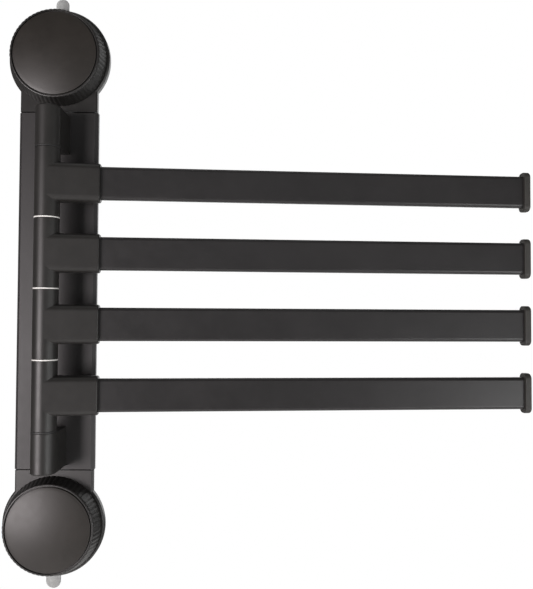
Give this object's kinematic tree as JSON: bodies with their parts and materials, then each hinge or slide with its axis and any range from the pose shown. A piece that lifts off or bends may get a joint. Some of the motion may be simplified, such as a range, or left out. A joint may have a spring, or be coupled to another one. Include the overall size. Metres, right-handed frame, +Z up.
{
  "type": "towel rack",
  "caption": "Wall-held towel rack: flat swing-out arms on a pivot column along a bevelled rail, with a round knob-tightened suction unit at each end.",
  "frame": {"origin": "centre of the upper suction cup's wall face, on the wall plane", "axes": "+Z up along the rail, +Y into the wall, +X to the right, the side the arms rest on"},
  "size_m": [0.3746, 0.0415, 0.4244],
  "materials": {
    "clear_tpu": "clear soft plastic, slightly frosted",
    "moulded_black": "fine satin moulded texture",
    "satin_face": "smooth satin, warm black",
    "painted_rail": "satin black powder coat on extruded aluminium",
    "painted_tube": "satin black powder coat on extruded aluminium",
    "painted_casting": "satin black, glass-filled moulding",
    "nylon_white": "natural white nylon",
    "nylon_black": "black nylon or acetal",
    "zinc_steel": "bright zinc plate",
    "black_steel": "black oxide",
    "brass": "turned"
  },
  "bodies": {
    "rack": {"rail": "painted_rail", "pivot_rod": "zinc_steel", "top_washer": "nylon_black", "bottom_washer": "nylon_black", "spacer_1": "nylon_white", "spacer_2": "nylon_white", "spacer_3": "nylon_white", "upper_suction_cup": "clear_tpu", "upper_base": "moulded_black", "upper_thrust_washer": "nylon_black", "upper_bracket": "painted_casting", "upper_bracket_screws": "zinc_steel", "upper_rail_screws": "zinc_steel", "lower_suction_cup": "clear_tpu", "lower_base": "moulded_black", "lower_thrust_washer": "nylon_black", "lower_bracket": "painted_casting", "lower_bracket_screws": "zinc_steel", "lower_rail_screws": "zinc_steel"},
    "upper_knob_body": {"upper_knob": "moulded_black", "upper_knob_insert": "brass", "upper_knob_face": "satin_face"},
    "upper_stud_body": {"upper_cup_stud": "zinc_steel"},
    "lower_knob_body": {"lower_knob": "moulded_black", "lower_knob_insert": "brass", "lower_knob_face": "satin_face"},
    "lower_stud_body": {"lower_cup_stud": "zinc_steel"},
    "arm_1": {"hub_1": "painted_casting", "hub_bushes_1": "nylon_black", "arm_tube_1": "painted_tube", "end_cap_1": "moulded_black", "arm_screw_1": "black_steel"},
    "arm_2": {"hub_2": "painted_casting", "hub_bushes_2": "nylon_black", "arm_tube_2": "painted_tube", "end_cap_2": "moulded_black", "arm_screw_2": "black_steel"},
    "arm_3": {"hub_3": "painted_casting", "hub_bushes_3": "nylon_black", "arm_tube_3": "painted_tube", "end_cap_3": "moulded_black", "arm_screw_3": "black_steel"},
    "arm_4": {"hub_4": "painted_casting", "hub_bushes_4": "nylon_black", "arm_tube_4": "painted_tube", "end_cap_4": "moulded_black", "arm_screw_4": "black_steel"}
  },
  "joints": [
    {"name": "upper_knob_turn", "type": "hinge", "parent": "rack", "child": "upper_knob_body", "pos_m": [0, -0.0175, 0], "axis": [0, 1, 0], "range_deg": [0, 360]},
    {"name": "upper_stud_pull", "type": "slide", "parent": "rack", "child": "upper_stud_body", "axis": [0, -1, 0], "range_m": [0, 0.004], "deforming": ["upper_suction_cup"]},
    {"name": "lower_knob_turn", "type": "hinge", "parent": "rack", "child": "lower_knob_body", "pos_m": [0, -0.0175, -0.3312], "axis": [0, 1, 0], "range_deg": [0, 360]},
    {"name": "lower_stud_pull", "type": "slide", "parent": "rack", "child": "lower_stud_body", "axis": [0, -1, 0], "range_m": [0, 0.004], "deforming": ["lower_suction_cup"]},
    {"name": "arm_1_swing", "type": "hinge", "parent": "rack", "child": "arm_1", "pos_m": [0, -0.033, -0.09345], "axis": [0, 0, -1], "range_deg": [0, 189.2]},
    {"name": "arm_2_swing", "type": "hinge", "parent": "rack", "child": "arm_2", "pos_m": [0, -0.033, -0.14155], "axis": [0, 0, -1], "range_deg": [0, 189.2]},
    {"name": "arm_3_swing", "type": "hinge", "parent": "rack", "child": "arm_3", "pos_m": [0, -0.033, -0.18965], "axis": [0, 0, -1], "range_deg": [0, 189.2]},
    {"name": "arm_4_swing", "type": "hinge", "parent": "rack", "child": "arm_4", "pos_m": [0, -0.033, -0.23775], "axis": [0, 0, -1], "range_deg": [0, 189.2]}
  ],
  "couplings": [
    {"joint": "upper_stud_pull", "follows": "upper_knob_turn", "m_per_rad": 0.000636},
    {"joint": "lower_stud_pull", "follows": "lower_knob_turn", "m_per_rad": 0.000636}
  ]
}
